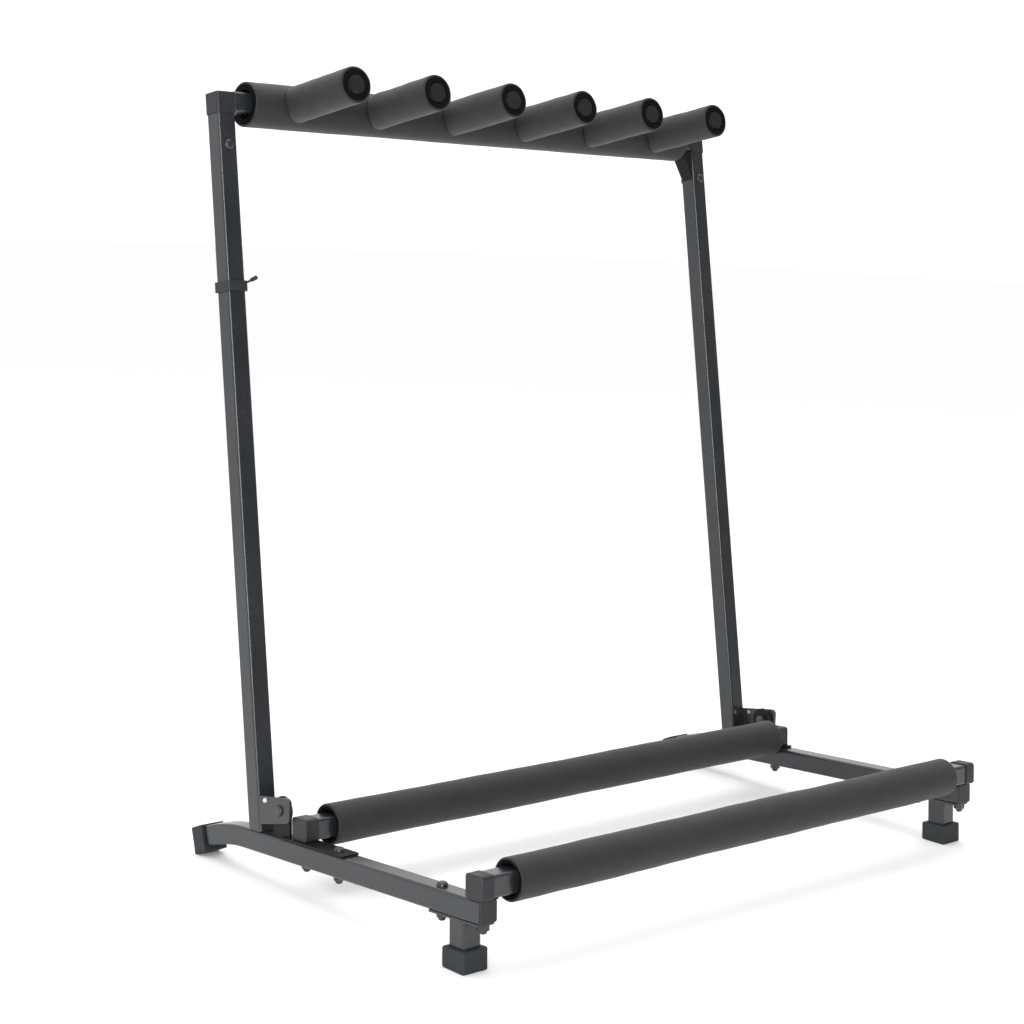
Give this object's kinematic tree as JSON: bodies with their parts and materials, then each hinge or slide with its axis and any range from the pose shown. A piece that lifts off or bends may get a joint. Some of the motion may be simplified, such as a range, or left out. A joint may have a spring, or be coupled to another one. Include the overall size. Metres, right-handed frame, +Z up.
{
  "type": "folding guitar rack",
  "caption": "Free-standing rack: square-tube base with foam-covered bars and a leaning frame whose top bar carries foam-covered neck pegs; folds flat.",
  "frame": {"origin": "on the floor under the middle of the rack's bounding box", "axes": "+X along the crossbars to the right seen from the front, +Y to the rear, +Z up"},
  "size_m": [0.699, 0.4763, 0.7765],
  "materials": {
    "powder_coat": "satin charcoal-black powder coat with a fine texture",
    "plate_coat": "satin black powder coat on pressed plate",
    "black_fastener": "black oxide, semi-matt",
    "cap_plastic": "moulded black plastic, fine grain",
    "nylon": "black nylon",
    "foot_rubber": "matt black rubber",
    "zinc": "bright zinc plate",
    "foam": "closed-cell soft foam, dull charcoal skin"
  },
  "bodies": {
    "base": {"cap_nuts": "black_fastener", "front_bar": "powder_coat", "front_bar_bolts": "black_fastener", "front_bar_cap_left": "cap_plastic", "front_bar_cap_right": "cap_plastic", "front_bar_foam": "foam", "front_bar_pads": "nylon", "front_foot_left": "foot_rubber", "front_foot_right": "foot_rubber", "front_post_left": "powder_coat", "front_post_right": "powder_coat", "hinge_saddle_left": "plate_coat", "hinge_saddle_right": "plate_coat", "leg_front_plug_left": "cap_plastic", "leg_front_plug_right": "cap_plastic", "leg_left": "powder_coat", "leg_right": "powder_coat", "pivot_bolt_left": "black_fastener", "pivot_bolt_right": "black_fastener", "pivot_nut_left": "black_fastener", "pivot_nut_right": "black_fastener", "pivot_washer_left": "nylon", "pivot_washer_right": "nylon", "post_bolts": "black_fastener", "rear_bar": "powder_coat", "rear_bar_bolts": "black_fastener", "rear_bar_cap_left": "cap_plastic", "rear_bar_cap_right": "cap_plastic", "rear_bar_foam": "foam", "rear_foot_left": "foot_rubber", "rear_foot_right": "foot_rubber", "saddle_bolt": "black_fastener"},
    "back_frame": {"arm_rivets": "zinc", "gusset": "plate_coat", "hinge_arm_left": "plate_coat", "hinge_arm_right": "plate_coat", "neck_foam_1": "foam", "neck_foam_2": "foam", "neck_foam_3": "foam", "neck_foam_4": "foam", "neck_foam_5": "foam", "neck_foam_6": "foam", "neck_peg_1": "powder_coat", "neck_peg_2": "powder_coat", "neck_peg_3": "powder_coat", "neck_peg_4": "powder_coat", "neck_peg_5": "powder_coat", "neck_peg_6": "powder_coat", "neck_plugs": "cap_plastic", "top_bar": "powder_coat", "top_bar_foam": "foam", "upright_band": "cap_plastic", "upright_bolts": "black_fastener", "upright_cap_left": "cap_plastic", "upright_cap_right": "cap_plastic", "upright_left": "powder_coat", "upright_nuts": "black_fastener", "upright_right": "powder_coat"}
  },
  "joints": [
    {"name": "back_frame_fold", "type": "hinge", "parent": "base", "child": "back_frame", "pos_m": [0, 0.063, 0.0745], "axis": [1, 0, 0], "range_deg": [0, 96]}
  ]
}
